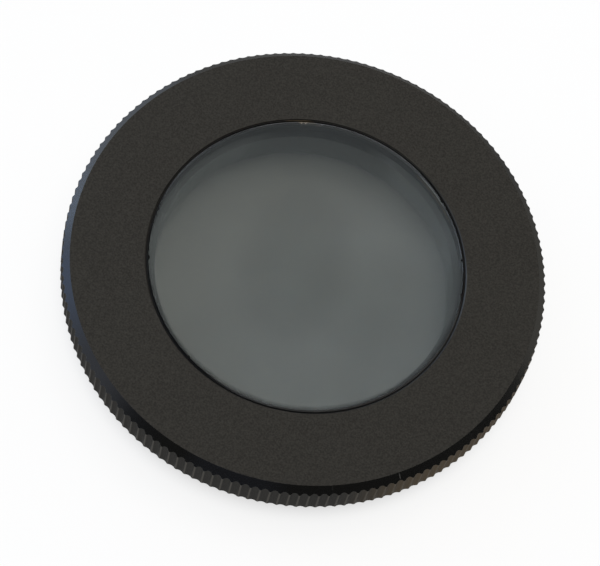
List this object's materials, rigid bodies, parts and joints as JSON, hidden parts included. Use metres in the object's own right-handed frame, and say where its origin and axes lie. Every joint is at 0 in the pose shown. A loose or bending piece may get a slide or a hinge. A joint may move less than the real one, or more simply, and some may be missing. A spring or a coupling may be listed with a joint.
{
  "type": "microscope polarizer",
  "caption": "Round polarizing filter cemented into a black ring with a straight-knurled rim and a spigot that drops into a microscope's filter seat.",
  "frame": {"origin": "on the optical axis, in the plane of the spigot's foot that the disc stands on", "axes": "+Z along the optical axis, from the spigot to the top face of the knurled rim"},
  "size_m": [0.052, 0.052, 0.0071],
  "materials": {
    "anodised_ring": "matte black anodised, fine bead-blasted grain",
    "cover_glass": "polished clear glass, ground edge",
    "polarizing_film": "neutral grey polarizing film, clear",
    "black_cement": "matte black cement"
  },
  "bodies": {
    "root": {"holder_ring": "anodised_ring", "lower_glass": "cover_glass", "polarizing_film": "polarizing_film", "upper_glass": "cover_glass", "edge_cement": "black_cement"}
  },
  "joints": []
}
